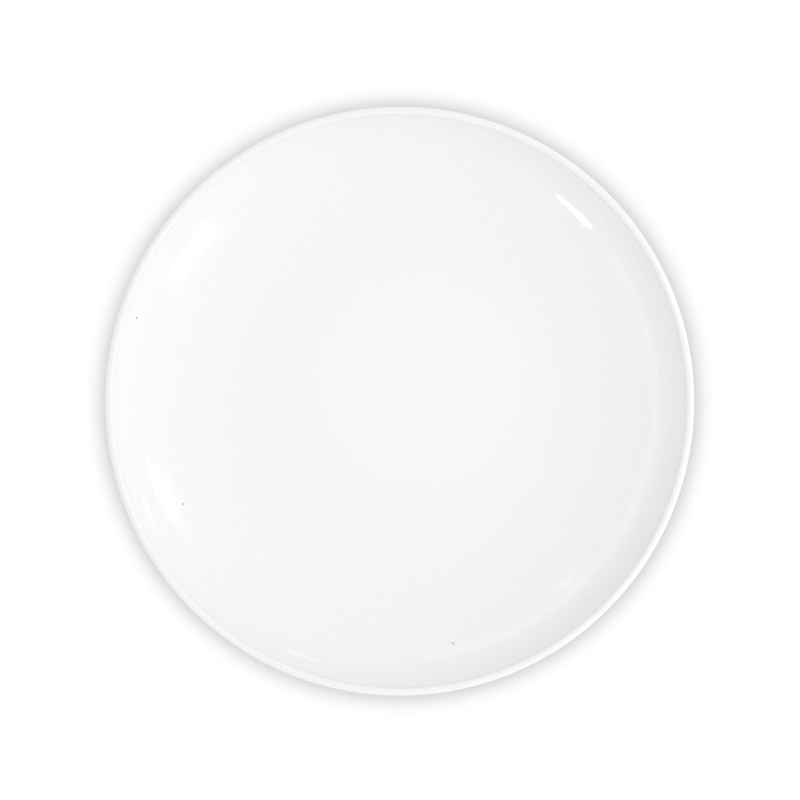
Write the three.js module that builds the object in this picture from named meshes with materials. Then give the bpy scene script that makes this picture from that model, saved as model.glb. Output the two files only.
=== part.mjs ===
// Coupe dinner plate in white glazed porcelain.
// The fired body is one turned piece: a flat well, a wall that sweeps up to a rounded lip with no
// step or separate rim, and a foot ring underneath. Two coats of fired glaze cover it. The outer coat
// runs from the well over the lip and down the back to the foot, and the second coat lines the recess
// inside the foot ring. The foot is wiped clean before firing, so its bearing face and rounded edges
// are bare body.
// Millimetres, +Z up. The origin is the plate's centre, on the surface that the foot stands on.

import * as THREE from "three";

// Driving dimensions in millimetres, with one slope in degrees

const PLATE_DIAMETER = 270;
const PLATE_HEIGHT = 26;
const WELL_DIAMETER = 133;
const BEND_RADIUS = 28;
const LIP_SLOPE_DEGREES = 50;
const FLOOR_THICKNESS = 5;
const LIP_THICKNESS = 4.2;
const FOOT_DIAMETER = 150;
const FOOT_WIDTH = 4;
const FOOT_HEIGHT = 2.5;
const FOOT_FILLET = 1.4;
const FOOT_EDGE_RADIUS = 0.8;
const GLAZE_THICKNESS = 0.25;
const GLAZE_CLEARANCE = 0.02;

// Facet counts

const TURN_STEPS = 60;
const SWEEP_STEPS = 5;
const BEND_STEPS = 4;
const LIP_INNER_STEPS = 3;
const LIP_CROWN_STEPS = 4;
const LIP_OUTER_STEPS = 2;
const BACK_STEPS = 8;
const FILLET_STEPS = 3;
const EDGE_STEPS = 2;

// Curves that are solved for in small steps

const SOLVER_STEPS = 40;
const TANGENT_STEP = 0.01;
const SAME_POINT = 1e-6;

const QUARTER_TURN = Math.PI / 2;

// Finished face: flat well, long shallow sweep, then a tighter bend that runs tangent into the lip.
// The sweep's radius and the slope where it hands over to the bend follow from the two ends.

const lipSlope = THREE.MathUtils.degToRad(LIP_SLOPE_DEGREES);
const lipRadius = LIP_THICKNESS / 2;
const lipCentre = new THREE.Vector2(PLATE_DIAMETER / 2 - lipRadius, PLATE_HEIGHT - lipRadius);
const faceNormal = (slope) => new THREE.Vector2(-Math.sin(slope), Math.cos(slope));

const wellEdge = new THREE.Vector2(WELL_DIAMETER / 2, FOOT_HEIGHT + FLOOR_THICKNESS);
const faceEnd = lipCentre.clone().addScaledVector(faceNormal(lipSlope), lipRadius);
const spareRun = faceEnd.x - wellEdge.x - BEND_RADIUS * Math.sin(lipSlope);
const spareRise = faceEnd.y - wellEdge.y - BEND_RADIUS * (1 - Math.cos(lipSlope));
const kneeSlope = 2 * Math.atan2(spareRise, spareRun);
const sweepRadius = BEND_RADIUS + spareRun / Math.sin(kneeSlope);
const sweepCentre = wellEdge.clone().setY(wellEdge.y + sweepRadius);
const bendCentre = sweepCentre.clone().addScaledVector(faceNormal(kneeSlope), BEND_RADIUS - sweepRadius);

// Distances along the face from the axis

const sweepStart = wellEdge.x;
const bendStart = sweepStart + sweepRadius * kneeSlope;
const faceLength = bendStart + BEND_RADIUS * (lipSlope - kneeSlope);

// The face's point and outward normal at a distance from the axis along the face
function faceAt(distance) {
  if (distance <= sweepStart) {
    return { point: wellEdge.clone().setX(distance), normal: faceNormal(0) };
  }
  const onSweep = distance < bendStart;
  const centre = onSweep ? sweepCentre : bendCentre;
  const radius = onSweep ? sweepRadius : BEND_RADIUS;
  const sweepSlope = (distance - sweepStart) / sweepRadius;
  const bendSlope = kneeSlope + (distance - bendStart) / BEND_RADIUS;
  const normal = faceNormal(onSweep ? sweepSlope : bendSlope);
  return { point: centre.clone().addScaledVector(normal, -radius), normal };
}

// Full thickness through the wall: even over the foot, then tapering to the lip
function thicknessAt(distance) {
  const taperStart = FOOT_DIAMETER / 2;
  const taper = (distance - taperStart) / (faceLength - taperStart);
  return THREE.MathUtils.lerp(FLOOR_THICKNESS, LIP_THICKNESS, Math.max(taper, 0));
}

// Points below the finished face and above the finished back; inset is the depth into the material

function facePoint(distance, inset) {
  const { point, normal } = faceAt(distance);
  return point.addScaledVector(normal, -inset);
}

function backPoint(distance, inset) {
  const { point, normal } = faceAt(distance);
  return point.addScaledVector(normal, inset - thicknessAt(distance));
}

function spread(from, to, steps, pointAt) {
  const shares = Array.from({ length: steps + 1 }, (_, step) => step / steps);
  return shares.map((share) => pointAt(THREE.MathUtils.lerp(from, to, share)));
}

function arc(centre, radius, from, to, steps) {
  const clockwise = to < from;
  return new THREE.EllipseCurve(centre.x, centre.y, radius, radius, from, to, clockwise).getPoints(steps);
}

// Foot ring

const footOuter = (FOOT_DIAMETER + FOOT_WIDTH) / 2;
const footInner = (FOOT_DIAMETER - FOOT_WIDTH) / 2;
const innerFillet = Math.min(FOOT_FILLET, FOOT_HEIGHT - FOOT_EDGE_RADIUS);
const backStart = distanceToBackRadius(footOuter + FOOT_FILLET);
const outerFillet = Math.min(FOOT_FILLET, backCorner(0).y - FOOT_EDGE_RADIUS);
const outerFilletEnd = backCorner(0).y - outerFillet;

// Distance along the face at which the finished back reaches a radius
function distanceToBackRadius(radius) {
  let near = 0;
  let far = faceLength;
  for (let step = 0; step < SOLVER_STEPS; step += 1) {
    const middle = (near + far) / 2;
    if (backPoint(middle, 0).x < radius) {
      near = middle;
    } else {
      far = middle;
    }
  }
  return far;
}

// Where the back, carried on inwards along its tangent, would meet the foot's outer side
function backCorner(inset) {
  const start = backPoint(backStart, inset);
  const ahead = backPoint(backStart + TANGENT_STEP, inset);
  const lean = (ahead.y - start.y) / (ahead.x - start.x);
  const side = footOuter - inset;
  return new THREE.Vector2(side, start.y - lean * (start.x - side));
}

function outerFootFillet(inset) {
  const start = backPoint(backStart, inset);
  const end = new THREE.Vector2(footOuter - inset, outerFilletEnd);
  return new THREE.QuadraticBezierCurve(start, backCorner(inset), end).getPoints(FILLET_STEPS);
}

function innerFootFillet(inset) {
  const start = new THREE.Vector2(footInner - innerFillet, FOOT_HEIGHT + inset);
  const corner = new THREE.Vector2(footInner + inset, FOOT_HEIGHT + inset);
  const end = new THREE.Vector2(footInner + inset, FOOT_HEIGHT - innerFillet);
  return new THREE.QuadraticBezierCurve(start, corner, end).getPoints(FILLET_STEPS);
}

// Profiles as radius and height, each at a depth into the finished material

function lip(inset) {
  const radius = lipRadius - inset;
  return [
    ...arc(lipCentre, radius, lipSlope + QUARTER_TURN, QUARTER_TURN, LIP_INNER_STEPS),
    ...arc(lipCentre, radius, QUARTER_TURN, 0, LIP_CROWN_STEPS),
    ...arc(lipCentre, radius, 0, lipSlope - QUARTER_TURN, LIP_OUTER_STEPS),
  ];
}

// From the middle of the well, over the lip and down the back to the glaze line on the foot
function outerSkin(inset) {
  return [
    facePoint(0, inset),
    ...spread(sweepStart, bendStart, SWEEP_STEPS, (distance) => facePoint(distance, inset)),
    ...spread(bendStart, faceLength, BEND_STEPS, (distance) => facePoint(distance, inset)),
    ...lip(inset),
    ...spread(faceLength, backStart, BACK_STEPS, (distance) => backPoint(distance, inset)),
    ...outerFootFillet(inset),
    new THREE.Vector2(footOuter - inset, FOOT_EDGE_RADIUS),
  ];
}

// From the middle of the underside to the glaze line on the inside of the foot
function recessSkin(inset) {
  return [
    new THREE.Vector2(0, FOOT_HEIGHT + inset),
    ...innerFootFillet(inset),
    new THREE.Vector2(footInner + inset, FOOT_EDGE_RADIUS),
  ];
}

// The foot's bare end: a flat bearing face between two rounded edges
function bareFoot(inset) {
  const edge = FOOT_EDGE_RADIUS;
  const innerCentre = new THREE.Vector2(footInner + inset + edge, edge);
  const outerCentre = new THREE.Vector2(footOuter - inset - edge, edge);
  return [
    ...arc(innerCentre, edge, 2 * QUARTER_TURN, 3 * QUARTER_TURN, EDGE_STEPS),
    ...arc(outerCentre, edge, 3 * QUARTER_TURN, 4 * QUARTER_TURN, EDGE_STEPS),
  ];
}

// A solid of revolution from profile stretches that follow one another
function turned(name, material, ...stretches) {
  const profile = stretches
    .flat()
    .filter((point, index, all) => index === 0 || point.distanceTo(all[index - 1]) > SAME_POINT);
  const mesh = new THREE.Mesh(new THREE.LatheGeometry(profile, TURN_STEPS), material);
  mesh.name = name;
  return mesh;
}

// Materials

const biscuit = new THREE.MeshStandardMaterial({ color: 0xebe8e1, roughness: 0.85, metalness: 0 });
const glaze = new THREE.MeshStandardMaterial({ color: 0xf2f2f0, roughness: 0.1, metalness: 0 });

// Pieces

const bodyInset = GLAZE_THICKNESS + GLAZE_CLEARANCE;

function porcelainBody() {
  const skins = [recessSkin(bodyInset), bareFoot(bodyInset), outerSkin(bodyInset).reverse()];
  return turned("porcelain_body", biscuit, ...skins);
}

function outerGlaze() {
  return turned("outer_glaze", glaze, outerSkin(GLAZE_THICKNESS), outerSkin(0).reverse());
}

function footRecessGlaze() {
  return turned("foot_recess_glaze", glaze, recessSkin(0), recessSkin(GLAZE_THICKNESS).reverse());
}

// Profiles are turned about Y, so the plate is tipped upright onto +Z
const turning = new THREE.Group();
turning.rotation.x = QUARTER_TURN;
turning.add(porcelainBody(), outerGlaze(), footRecessGlaze());

const plate = new THREE.Group();
plate.add(turning);

export default plate;
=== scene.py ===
"""White glazed porcelain coupe plate on a pale floor, seen from straight above.

The CAD solids are the frame. The body and the two glaze coats are turned again here as fine smooth
meshes of the same section, in metres, and get their finish.
"""

import math

import bpy
from mathutils import Matrix, Vector


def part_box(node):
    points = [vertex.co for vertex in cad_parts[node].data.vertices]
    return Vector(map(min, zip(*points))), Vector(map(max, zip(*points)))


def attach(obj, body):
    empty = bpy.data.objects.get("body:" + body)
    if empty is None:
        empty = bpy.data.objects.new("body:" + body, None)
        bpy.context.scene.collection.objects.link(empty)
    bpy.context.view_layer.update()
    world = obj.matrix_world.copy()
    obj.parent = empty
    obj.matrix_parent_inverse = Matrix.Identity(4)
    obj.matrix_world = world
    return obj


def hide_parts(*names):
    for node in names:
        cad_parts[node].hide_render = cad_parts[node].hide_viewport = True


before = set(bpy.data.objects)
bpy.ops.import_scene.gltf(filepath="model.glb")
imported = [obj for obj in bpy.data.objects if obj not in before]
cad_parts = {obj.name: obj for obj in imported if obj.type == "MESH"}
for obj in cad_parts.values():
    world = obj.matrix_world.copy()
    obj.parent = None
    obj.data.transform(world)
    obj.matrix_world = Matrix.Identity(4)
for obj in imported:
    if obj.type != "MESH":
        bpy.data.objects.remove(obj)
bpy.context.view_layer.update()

# Section sizes in metres that the frame's boxes don't give

WELL_RADIUS = 0.0665
BEND_RADIUS = 0.028
LIP_SLOPE = math.radians(50)
LIP_THICKNESS = 0.0042
FLOOR_THICKNESS = 0.005
FOOT_WIDTH = 0.004
FOOT_FILLET = 0.0014
GLAZE_THICKNESS = 0.00025
GLAZE_CLEARANCE = 0.00002

# Section sizes read from the frame

outer_low, outer_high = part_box("outer_glaze")
recess_low, recess_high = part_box("foot_recess_glaze")
PLATE_RADIUS = outer_high.x
PLATE_HEIGHT = outer_high.z
FOOT_EDGE_RADIUS = outer_low.z
FOOT_HEIGHT = recess_high.z - GLAZE_THICKNESS
FOOT_INNER = recess_high.x - GLAZE_THICKNESS
FOOT_OUTER = FOOT_INNER + FOOT_WIDTH

# Mesh fineness

TURN_STEPS = 192
WELL_RINGS = 12
SWEEP_STEPS = 36
BEND_STEPS = 24
LIP_STEPS = 10
BACK_STEPS = 44
FILLET_STEPS = 10
EDGE_STEPS = 8
SOLVER_STEPS = 40
TANGENT_STEP = 1e-5
SAME_POINT = 1e-9

# Glaze finish: colours, roughness, noise scales per metre, and heights and places in metres

NOISE_SPAN = (0.3, 0.7)
MOTTLE_COLOURS = ((0.86, 0.86, 0.855), (0.885, 0.885, 0.88))
MOTTLE_SCALE = 650
GLOSS_SCALE = 90
GLOSS_ROUGHNESS = (0.045, 0.07)
WELL_DULLING = 0.09
DULLING_END = WELL_RADIUS * 1.3
GLAZE_IOR = 1.5
RIPPLE_SCALE = 90
RIPPLE_HEIGHT = 0.00007
PEEL_SCALE = 330
PEEL_HEIGHT = 0.000012
SPECK_COLOUR = (0.32, 0.29, 0.26)
SPECK_PLACES = ((0.0246, -0.1118), (-0.1002, -0.0475), (-0.1209, 0.0383))
SPECK_CORE = 0.00027
SPECK_EDGE = 0.00054

# Bare porcelain finish: colours, roughness, noise scales per metre, and heights in metres

GRAIN_COLOURS = ((0.76, 0.74, 0.69), (0.84, 0.82, 0.78))
GRAIN_SCALE = 2600
GRAIN_HEIGHT = 0.00003
RUBBED_COLOUR = (0.66, 0.64, 0.6)
RUBBED_HEIGHTS = (0.00002, 0.0002)
RUBBED_SCALE = 130
RUBBED_NOISE_SPAN = (0.35, 0.75)
RUBBED_SHARES = (0.1, 0.6)
BARE_ROUGHNESS = 0.9
RUBBED_ROUGHNESS = 0.6

# Floor and the plate's contact shadow painted on it, in metres and shares

FLOOR_HALF = 3.0
FLOOR_WHITE = 0.95
FLOOR_ROUGHNESS = 0.9
SHADOW_REACH = 0.0257
SHADOW_HALF = 0.292
SHADOW_FADE = 3
SHADOW_DEPTH = 0.7

# Sky levels, the azimuth and elevation of its two patches in degrees, and the cosines at their edges

AMBIENT = 0.915
GLOW = 0.45
GLOW_PLACE = (-13, 12)
GLOW_EDGE = 0.35
DIM = 0.22
DIM_PLACE = (142, 8)
DIM_EDGE = 0.75

# Windows: azimuth, elevation, width, height and roll in degrees

WINDOWS = {
    "right_window": (20.7, 58.8, 9.2, 6.8, 62),
    "front_window": (-35.5, 54.6, 8, 15, 0),
}

# Layers that soften a window's edge, as shares of its size and radiances, and the gap between them

CURTAIN = ((0.7, 1.6), (1.0, 0.8), (1.3, 0.5))
CURTAIN_GAP = 0.02

# Lamps: azimuth, elevation, width and height in degrees, then radiance

LAMP_DISTANCE = 2.0
LAMPS = {
    "front_curtain": (-50, 51, 16, 9, 0.3),
    "back_lamp": (227, 57.2, 5.3, 3.9, 6),
    "low_window": (23.6, 25.5, 4.7, 8, 2),
    "far_lamp_1": (60.4, 55.7, 2.6, 1.2, 2.2),
    "far_lamp_2": (69.3, 30.2, 5.4, 5.5, 1.8),
    "far_lamp_3": (132.5, 62.7, 3.5, 2.5, 1.2),
    "far_lamp_4": (173, 13, 2, 3.5, 2.2),
}

# Row of lamps that the wall mirrors as a faint arc: elevation, width and height, then radiance

ARC_LAMP = (58.7, 11, 4.2, 0.65)
ARC_LAMPS = 6
ARC_START = 105
ARC_STEP = 20

# Soft pool of light on the well, a little off its middle

POOL_CENTRE = (0.013, 0.0106)
POOL_RADIUS = 0.064
POOL_WATTS = 4.5

# The photograph's framing

PHOTO_SIZE_PX = 800
PLATE_RADIUS_PX = 294.5
PLATE_CENTRE_PX = (399.7, 401.2)
CAMERA_HEIGHT = 1.2
SENSOR_MM = 36.0


# Finished face: flat well, shallow sweep, tighter bend, then the lip

def face_normal(slope):
    return Vector((-math.sin(slope), math.cos(slope)))


lip_radius = LIP_THICKNESS / 2
lip_centre = Vector((PLATE_RADIUS - lip_radius, PLATE_HEIGHT - lip_radius))
well_edge = Vector((WELL_RADIUS, FOOT_HEIGHT + FLOOR_THICKNESS))
face_end = lip_centre + face_normal(LIP_SLOPE) * lip_radius
spare_run = face_end.x - well_edge.x - BEND_RADIUS * math.sin(LIP_SLOPE)
spare_rise = face_end.y - well_edge.y - BEND_RADIUS * (1 - math.cos(LIP_SLOPE))
knee_slope = 2 * math.atan2(spare_rise, spare_run)
sweep_radius = BEND_RADIUS + spare_run / math.sin(knee_slope)
sweep_centre = well_edge + Vector((0, sweep_radius))
bend_centre = sweep_centre + face_normal(knee_slope) * (BEND_RADIUS - sweep_radius)
bend_start = WELL_RADIUS + sweep_radius * knee_slope
face_length = bend_start + BEND_RADIUS * (LIP_SLOPE - knee_slope)


def face_at(distance):
    """The face's point and normal at a distance from the axis, measured along the face."""
    if distance <= WELL_RADIUS:
        return Vector((distance, well_edge.y)), face_normal(0)
    if distance < bend_start:
        normal = face_normal((distance - WELL_RADIUS) / sweep_radius)
        return sweep_centre - normal * sweep_radius, normal
    normal = face_normal(knee_slope + (distance - bend_start) / BEND_RADIUS)
    return bend_centre - normal * BEND_RADIUS, normal


def wall_place(x, y):
    """The point of the finished wall above a place on the table."""
    radius = math.hypot(x, y)
    on_sweep = radius < bend_centre.x + BEND_RADIUS * math.sin(knee_slope)
    centre, curve = (sweep_centre, sweep_radius) if on_sweep else (bend_centre, BEND_RADIUS)
    return x, y, centre.y - math.sqrt(curve ** 2 - (radius - centre.x) ** 2)


def thickness_at(distance):
    """Full thickness: even over the foot, then tapering to the lip."""
    taper_start = FOOT_INNER + FOOT_WIDTH / 2
    taper = max(0, (distance - taper_start) / (face_length - taper_start))
    return FLOOR_THICKNESS + (LIP_THICKNESS - FLOOR_THICKNESS) * taper


def face_point(distance, inset):
    point, normal = face_at(distance)
    return point - normal * inset


def back_point(distance, inset):
    point, normal = face_at(distance)
    return point - normal * (thickness_at(distance) - inset)


def spread(start, end, steps, point_at):
    return [point_at(start + (end - start) * step / steps) for step in range(steps + 1)]


def arc(centre, radius, start, end, steps):
    return spread(start, end, steps,
                  lambda angle: centre + Vector((math.cos(angle), math.sin(angle))) * radius)


def fillet(start, corner, end):
    """A curve that leaves start and reaches end along the lines to their corner."""
    return spread(0, 1, FILLET_STEPS,
                  lambda t: start * (1 - t) ** 2 + corner * 2 * t * (1 - t) + end * t ** 2)


# Foot ring

def distance_to_back_radius(radius):
    near, far = 0, face_length
    for _ in range(SOLVER_STEPS):
        middle = (near + far) / 2
        if back_point(middle, 0).x < radius:
            near = middle
        else:
            far = middle
    return far


back_start = distance_to_back_radius(FOOT_OUTER + FOOT_FILLET)


def back_corner(inset):
    """Where the back, carried on inwards along its tangent, meets the foot's outer side."""
    start = back_point(back_start, inset)
    ahead = back_point(back_start + TANGENT_STEP, inset)
    lean = (ahead.y - start.y) / (ahead.x - start.x)
    side = FOOT_OUTER - inset
    return Vector((side, start.y - lean * (start.x - side)))


outer_fillet_end = back_corner(0).y - FOOT_FILLET


# Profiles as radius and height, each at a depth into the finished material

def lip(inset):
    radius = lip_radius - inset
    return arc(lip_centre, radius, LIP_SLOPE + math.pi / 2, math.pi / 2, LIP_STEPS) \
        + arc(lip_centre, radius, math.pi / 2, 0, LIP_STEPS) \
        + arc(lip_centre, radius, 0, LIP_SLOPE - math.pi / 2, LIP_STEPS)


def outer_skin(inset, foot_line):
    """From the middle of the well over the lip and down the back to a line on the foot."""
    def face(distance):
        return face_point(distance, inset)

    def back(distance):
        return back_point(distance, inset)

    side = FOOT_OUTER - inset
    foot_fillet = fillet(back(back_start), back_corner(inset), Vector((side, outer_fillet_end)))
    return spread(0, WELL_RADIUS, WELL_RINGS, face) \
        + spread(WELL_RADIUS, bend_start, SWEEP_STEPS, face) \
        + spread(bend_start, face_length, BEND_STEPS, face) \
        + lip(inset) \
        + spread(face_length, back_start, BACK_STEPS, back) \
        + foot_fillet \
        + [Vector((side, foot_line))]


def recess_skin(inset, foot_line):
    """From the middle of the underside to a line on the inside of the foot."""
    side = FOOT_INNER + inset
    level = FOOT_HEIGHT + inset
    flat_end = FOOT_INNER - FOOT_FILLET
    foot_fillet = fillet(Vector((flat_end, level)), Vector((side, level)),
                         Vector((side, FOOT_HEIGHT - FOOT_FILLET)))
    return spread(0, flat_end, WELL_RINGS, lambda radius: Vector((radius, level))) \
        + foot_fillet \
        + [Vector((side, foot_line))]


def bare_foot(inset):
    """The foot's bearing face between its two rounded edges."""
    edge = FOOT_EDGE_RADIUS
    inner_centre = Vector((FOOT_INNER + inset + edge, edge))
    outer_centre = Vector((FOOT_OUTER - inset - edge, edge))
    return arc(inner_centre, edge, math.pi, math.pi * 3 / 2, EDGE_STEPS) \
        + arc(outer_centre, edge, math.pi * 3 / 2, math.pi * 2, EDGE_STEPS)


def glaze_edge(near_side, far_side):
    """The rounded end of a coat on the foot, from its side near the axis to its far side."""
    radius = GLAZE_THICKNESS / 2
    centre = Vector(((near_side + far_side) / 2, FOOT_EDGE_RADIUS + radius))
    return arc(centre, radius, math.pi, math.pi * 2, EDGE_STEPS)


def turned(name, *stretches):
    """A closed solid of revolution from a profile that starts and ends on the axis."""
    profile = []
    for point in [point for stretch in stretches for point in stretch]:
        if not profile or (point - profile[-1]).length > SAME_POINT:
            profile.append(point)
    rings = profile[1:-1]
    corners = [(0, 0, profile[0].y), (0, 0, profile[-1].y)]
    for ring in rings:
        for step in range(TURN_STEPS):
            angle = 2 * math.pi * step / TURN_STEPS
            corners.append((ring.x * math.cos(angle), ring.x * math.sin(angle), ring.y))
    first_ring = 2
    last_ring = first_ring + (len(rings) - 1) * TURN_STEPS
    faces = []
    for step in range(TURN_STEPS):
        following = (step + 1) % TURN_STEPS
        faces.append((0, first_ring + following, first_ring + step))
        faces.append((1, last_ring + step, last_ring + following))
        for ring in range(len(rings) - 1):
            low = first_ring + ring * TURN_STEPS
            high = low + TURN_STEPS
            faces.append((low + step, low + following, high + following, high + step))
    mesh = bpy.data.meshes.new(name)
    mesh.from_pydata(corners, [], faces)
    mesh.polygons.foreach_set("use_smooth", [True] * len(mesh.polygons))
    mesh.validate()
    return placed(name, mesh)


def placed(name, data):
    """A new object in the scene that holds a mesh, a light or a camera."""
    holder = bpy.data.objects.new(name, data)
    bpy.context.scene.collection.objects.link(holder)
    return holder


# Shader nodes

def new_material(name):
    material = bpy.data.materials.new(name)
    material.use_nodes = True
    return material, material.node_tree.nodes, material.node_tree.links


def add_math(nodes, links, operation, *values):
    """A Math node; each value is a number or an output to link."""
    node = nodes.new("ShaderNodeMath")
    node.operation = operation
    for socket, value in zip(node.inputs, values):
        if isinstance(value, bpy.types.NodeSocket):
            links.new(value, socket)
        else:
            socket.default_value = value
    return node.outputs["Value"]


def add_range(nodes, links, value, from_low, from_high, to_low, to_high, curve="LINEAR"):
    node = nodes.new("ShaderNodeMapRange")
    node.interpolation_type = curve
    links.new(value, node.inputs["Value"])
    node.inputs["From Min"].default_value = from_low
    node.inputs["From Max"].default_value = from_high
    node.inputs["To Min"].default_value = to_low
    node.inputs["To Max"].default_value = to_high
    return node.outputs["Result"]


def add_noise(nodes, links, place, scale, detail):
    node = nodes.new("ShaderNodeTexNoise")
    links.new(place, node.inputs["Vector"])
    node.inputs["Scale"].default_value = scale
    node.inputs["Detail"].default_value = detail
    return node.outputs["Fac"]


def add_bump(nodes, links, height, distance, below=None):
    node = nodes.new("ShaderNodeBump")
    links.new(height, node.inputs["Height"])
    node.inputs["Distance"].default_value = distance
    if below is not None:
        links.new(below, node.inputs["Normal"])
    return node.outputs["Normal"]


def add_colour_mix(nodes, links, share, first, second):
    """A mix of two colours; each is a colour or an output to link."""
    node = nodes.new("ShaderNodeMix")
    node.data_type = "RGBA"
    links.new(share, node.inputs["Factor"])
    for name, colour in (("A", first), ("B", second)):
        socket = next(s for s in node.inputs if s.name == name and s.type == "RGBA")
        if isinstance(colour, bpy.types.NodeSocket):
            links.new(colour, socket)
        else:
            socket.default_value = (*colour, 1)
    return next(s for s in node.outputs if s.type == "RGBA")


def add_specks(nodes, links, place):
    """How much of each point is covered by the iron specks, from 0 to 1."""
    cover = 0.0
    for centre in SPECK_PLACES:
        gap = nodes.new("ShaderNodeVectorMath")
        gap.operation = "DISTANCE"
        links.new(place, gap.inputs[0])
        gap.inputs[1].default_value = wall_place(*centre)
        spot = add_range(nodes, links, gap.outputs["Value"], SPECK_CORE, SPECK_EDGE, 1, 0)
        cover = add_math(nodes, links, "MAXIMUM", spot, cover)
    return cover


def add_dulling(nodes, links, place):
    """Roughness that use adds to the well, fading out up the wall."""
    reach = nodes.new("ShaderNodeVectorMath")
    reach.operation = "LENGTH"
    links.new(place, reach.inputs[0])
    return add_range(nodes, links, reach.outputs["Value"], WELL_RADIUS, DULLING_END, WELL_DULLING, 0,
                     "SMOOTHSTEP")


def add_patch(nodes, links, direction, edge, level):
    """A soft round patch of the sky, with its level at the middle and none past its edge."""
    facing = nodes.new("ShaderNodeVectorMath")
    facing.operation = "DOT_PRODUCT"
    links.new(nodes.new("ShaderNodeTexCoord").outputs["Generated"], facing.inputs[0])
    facing.inputs[1].default_value = direction
    return add_range(nodes, links, facing.outputs["Value"], edge, 1, 0, level, "SMOOTHSTEP")


def seen_directly(nodes, links, path):
    """1 for rays from the lens, from mirrors and through glass, 0 for the light that falls on things."""
    seen = add_math(nodes, links, "MAXIMUM", path.outputs["Is Camera Ray"], path.outputs["Is Glossy Ray"])
    return add_math(nodes, links, "MAXIMUM", seen, path.outputs["Is Transmission Ray"])


# Materials

def glaze_material():
    """Clear gloss over white porcelain, with mottling, ripples, orange peel and a few iron specks."""
    material, nodes, links = new_material("white_glaze")
    shader = nodes["Principled BSDF"]
    place = nodes.new("ShaderNodeTexCoord").outputs["Object"]
    mottle = add_noise(nodes, links, place, MOTTLE_SCALE, detail=4)
    white = add_colour_mix(nodes, links, add_range(nodes, links, mottle, *NOISE_SPAN, 0, 1), *MOTTLE_COLOURS)
    specks = add_specks(nodes, links, place)
    links.new(add_colour_mix(nodes, links, specks, white, SPECK_COLOUR), shader.inputs["Base Color"])
    gloss = add_noise(nodes, links, place, GLOSS_SCALE, detail=2)
    roughness = add_range(nodes, links, gloss, *NOISE_SPAN, *GLOSS_ROUGHNESS)
    dulling = add_dulling(nodes, links, place)
    links.new(add_math(nodes, links, "ADD", roughness, dulling), shader.inputs["Roughness"])
    shader.inputs["IOR"].default_value = GLAZE_IOR
    ripple_noise = add_noise(nodes, links, place, RIPPLE_SCALE, detail=1)
    ripples = add_bump(nodes, links, ripple_noise, RIPPLE_HEIGHT)
    peel_noise = add_noise(nodes, links, place, PEEL_SCALE, detail=2)
    links.new(add_bump(nodes, links, peel_noise, PEEL_HEIGHT, ripples), shader.inputs["Normal"])
    return material


def biscuit_material():
    """Bare fired porcelain, matte and finely grained, rubbed a little darker where it stands."""
    material, nodes, links = new_material("bare_porcelain")
    shader = nodes["Principled BSDF"]
    place = nodes.new("ShaderNodeTexCoord").outputs["Object"]
    grain = add_noise(nodes, links, place, GRAIN_SCALE, detail=4)
    fired = add_colour_mix(nodes, links, grain, *GRAIN_COLOURS)
    height = nodes.new("ShaderNodeSeparateXYZ")
    links.new(place, height.inputs["Vector"])
    standing = add_range(nodes, links, height.outputs["Z"], *RUBBED_HEIGHTS, 1, 0)
    wear = add_noise(nodes, links, place, RUBBED_SCALE, detail=3)
    patches = add_range(nodes, links, wear, *RUBBED_NOISE_SPAN, *RUBBED_SHARES)
    rubbed = add_math(nodes, links, "MULTIPLY", standing, patches)
    links.new(add_colour_mix(nodes, links, rubbed, fired, RUBBED_COLOUR), shader.inputs["Base Color"])
    roughness = add_range(nodes, links, rubbed, 0, 1, BARE_ROUGHNESS, RUBBED_ROUGHNESS)
    links.new(roughness, shader.inputs["Roughness"])
    links.new(add_bump(nodes, links, grain, GRAIN_HEIGHT), shader.inputs["Normal"])
    return material


def floor_material():
    """Pale floor that shows as white, apart from the plate's contact shadow, which is painted shade."""
    material, nodes, links = new_material("pale_floor")
    shader = nodes["Principled BSDF"]
    shader.inputs["Base Color"].default_value = (FLOOR_WHITE, FLOOR_WHITE, FLOOR_WHITE, 1)
    shader.inputs["Roughness"].default_value = FLOOR_ROUGHNESS
    # Painted shadow: occlusion near the plate darkens the floor's white as the lens sees it, not shade cast
    # by the lamps
    contact = nodes.new("ShaderNodeAmbientOcclusion")
    contact.inputs["Distance"].default_value = SHADOW_REACH
    cover = add_math(nodes, links, "SUBTRACT", 1, contact.outputs["AO"])
    relative = add_math(nodes, links, "DIVIDE", cover, SHADOW_HALF)
    ratio = add_math(nodes, links, "POWER", relative, SHADOW_FADE)
    share = add_math(nodes, links, "DIVIDE", ratio, add_math(nodes, links, "ADD", ratio, 1))
    path = nodes.new("ShaderNodeLightPath")
    on_lens = add_math(nodes, links, "MULTIPLY", share, path.outputs["Is Camera Ray"])
    shadow = add_math(nodes, links, "MULTIPLY", on_lens, SHADOW_DEPTH)
    white = nodes.new("ShaderNodeEmission")
    links.new(add_math(nodes, links, "SUBTRACT", 1, shadow), white.inputs["Strength"])
    mix = nodes.new("ShaderNodeMixShader")
    links.new(seen_directly(nodes, links, path), mix.inputs["Fac"])
    links.new(shader.outputs["BSDF"], mix.inputs[1])
    links.new(white.outputs["Emission"], mix.inputs[2])
    links.new(mix.outputs["Shader"], nodes["Material Output"].inputs["Surface"])
    return material


# Pieces

def dress(piece, material, node):
    piece.data.materials.append(material)
    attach(piece, "root")
    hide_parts(node)


glaze = glaze_material()
biscuit = biscuit_material()
body_inset = GLAZE_THICKNESS + GLAZE_CLEARANCE
glaze_line = FOOT_EDGE_RADIUS + GLAZE_THICKNESS / 2

body = turned("plate_body", recess_skin(body_inset, FOOT_EDGE_RADIUS), bare_foot(body_inset),
              outer_skin(body_inset, FOOT_EDGE_RADIUS)[::-1])
dress(body, biscuit, "porcelain_body")

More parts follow.
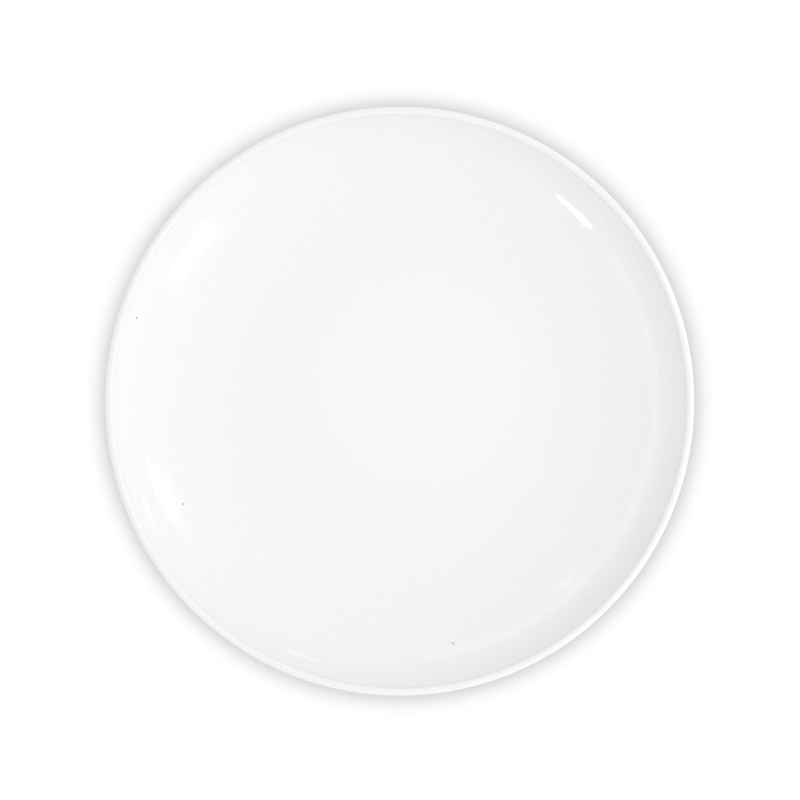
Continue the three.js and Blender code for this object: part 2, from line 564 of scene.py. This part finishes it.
outer_coat = turned("plate_glaze", outer_skin(GLAZE_THICKNESS, glaze_line),
                    glaze_edge(FOOT_OUTER - GLAZE_THICKNESS, FOOT_OUTER),
                    outer_skin(0, glaze_line)[::-1])
dress(outer_coat, glaze, "outer_glaze")

recess_coat = turned("recess_glaze", recess_skin(0, glaze_line),
                     glaze_edge(FOOT_INNER, FOOT_INNER + GLAZE_THICKNESS),
                     recess_skin(GLAZE_THICKNESS, glaze_line)[::-1])
dress(recess_coat, glaze, "foot_recess_glaze")


# Floor

floor_mesh = bpy.data.meshes.new("floor")
floor_mesh.from_pydata([(-FLOOR_HALF, -FLOOR_HALF, 0), (FLOOR_HALF, -FLOOR_HALF, 0),
                        (FLOOR_HALF, FLOOR_HALF, 0), (-FLOOR_HALF, FLOOR_HALF, 0)], [], [(0, 1, 2, 3)])
floor_mesh.materials.append(floor_material())
placed("floor", floor_mesh)


# Lights

def lamp_direction(azimuth, elevation):
    around, up = math.radians(azimuth), math.radians(elevation)
    return Vector((math.cos(up) * math.cos(around), math.cos(up) * math.sin(around), math.sin(up)))


def softbox(name, azimuth, elevation, width, height, radiance, roll=0.0, distance=LAMP_DISTANCE):
    """A lamp that faces the plate. Its place, width, height and roll are in degrees."""
    lamp = bpy.data.lights.new(name, "AREA")
    lamp.shape = "RECTANGLE"
    lamp.size = 2 * distance * math.tan(math.radians(width / 2))
    lamp.size_y = 2 * distance * math.tan(math.radians(height / 2))
    lamp.energy = radiance * math.pi * lamp.size * lamp.size_y
    facing = Matrix.Rotation(math.radians(azimuth + 90), 3, "Z") \
        @ Matrix.Rotation(math.radians(90 - elevation), 3, "X") \
        @ Matrix.Rotation(math.radians(roll), 3, "Z")
    holder = placed(name, lamp)
    holder.location = lamp_direction(azimuth, elevation) * distance
    holder.rotation_euler = facing.to_euler()
    holder.visible_camera = False


def window(name, azimuth, elevation, width, height, roll):
    """A window with a soft edge: panels of growing size, one behind the other."""
    for layer, (share, radiance) in enumerate(CURTAIN):
        softbox(f"{name}_{layer + 1}", azimuth, elevation, width * share, height * share, radiance, roll,
                LAMP_DISTANCE + layer * CURTAIN_GAP)


def pool_light():
    lamp = bpy.data.lights.new("well_pool", "SPOT")
    lamp.energy = POOL_WATTS
    lamp.spot_size = 2 * math.atan(POOL_RADIUS / LAMP_DISTANCE)
    lamp.spot_blend = 1.0
    holder = placed("well_pool", lamp)
    holder.location = (*POOL_CENTRE, LAMP_DISTANCE)
    holder.visible_glossy = False


def sky():
    """Even white for the lens; for the light, a glow on the right and a dim stretch on the far left."""
    world = bpy.data.worlds.new("studio")
    bpy.context.scene.world = world
    world.use_nodes = True
    nodes, links = world.node_tree.nodes, world.node_tree.links
    background = nodes["Background"]
    path = nodes.new("ShaderNodeLightPath")
    level = add_range(nodes, links, seen_directly(nodes, links, path), 0, 1, AMBIENT, 1)
    glow = add_patch(nodes, links, lamp_direction(*GLOW_PLACE), GLOW_EDGE, GLOW)
    dim = add_patch(nodes, links, lamp_direction(*DIM_PLACE), DIM_EDGE, DIM)
    off_lens = add_math(nodes, links, "SUBTRACT", 1, path.outputs["Is Camera Ray"])
    uneven = add_math(nodes, links, "SUBTRACT", glow, dim)
    patches = add_math(nodes, links, "MULTIPLY", uneven, off_lens)
    background.inputs["Color"].default_value = (1, 1, 1, 1)
    links.new(add_math(nodes, links, "ADD", level, patches), background.inputs["Strength"])


for name, place in WINDOWS.items():
    window(name, *place)
for name, place in LAMPS.items():
    softbox(name, *place)
for step in range(ARC_LAMPS):
    softbox(f"arc_lamp_{step + 1}", ARC_START + ARC_STEP * step, *ARC_LAMP)
pool_light()
sky()


# Camera

metres_per_pixel = PLATE_RADIUS / PLATE_RADIUS_PX
camera_data = bpy.data.cameras.new("camera")
camera_data.sensor_width = SENSOR_MM
camera_data.lens = SENSOR_MM * PLATE_RADIUS_PX / PHOTO_SIZE_PX * CAMERA_HEIGHT / PLATE_RADIUS
camera = placed("camera", camera_data)
camera.location = ((PHOTO_SIZE_PX / 2 - PLATE_CENTRE_PX[0]) * metres_per_pixel,
                   (PLATE_CENTRE_PX[1] - PHOTO_SIZE_PX / 2) * metres_per_pixel,
                   lip_centre.y + CAMERA_HEIGHT)
bpy.context.scene.camera = camera
bpy.context.scene.view_settings.view_transform = "Standard"
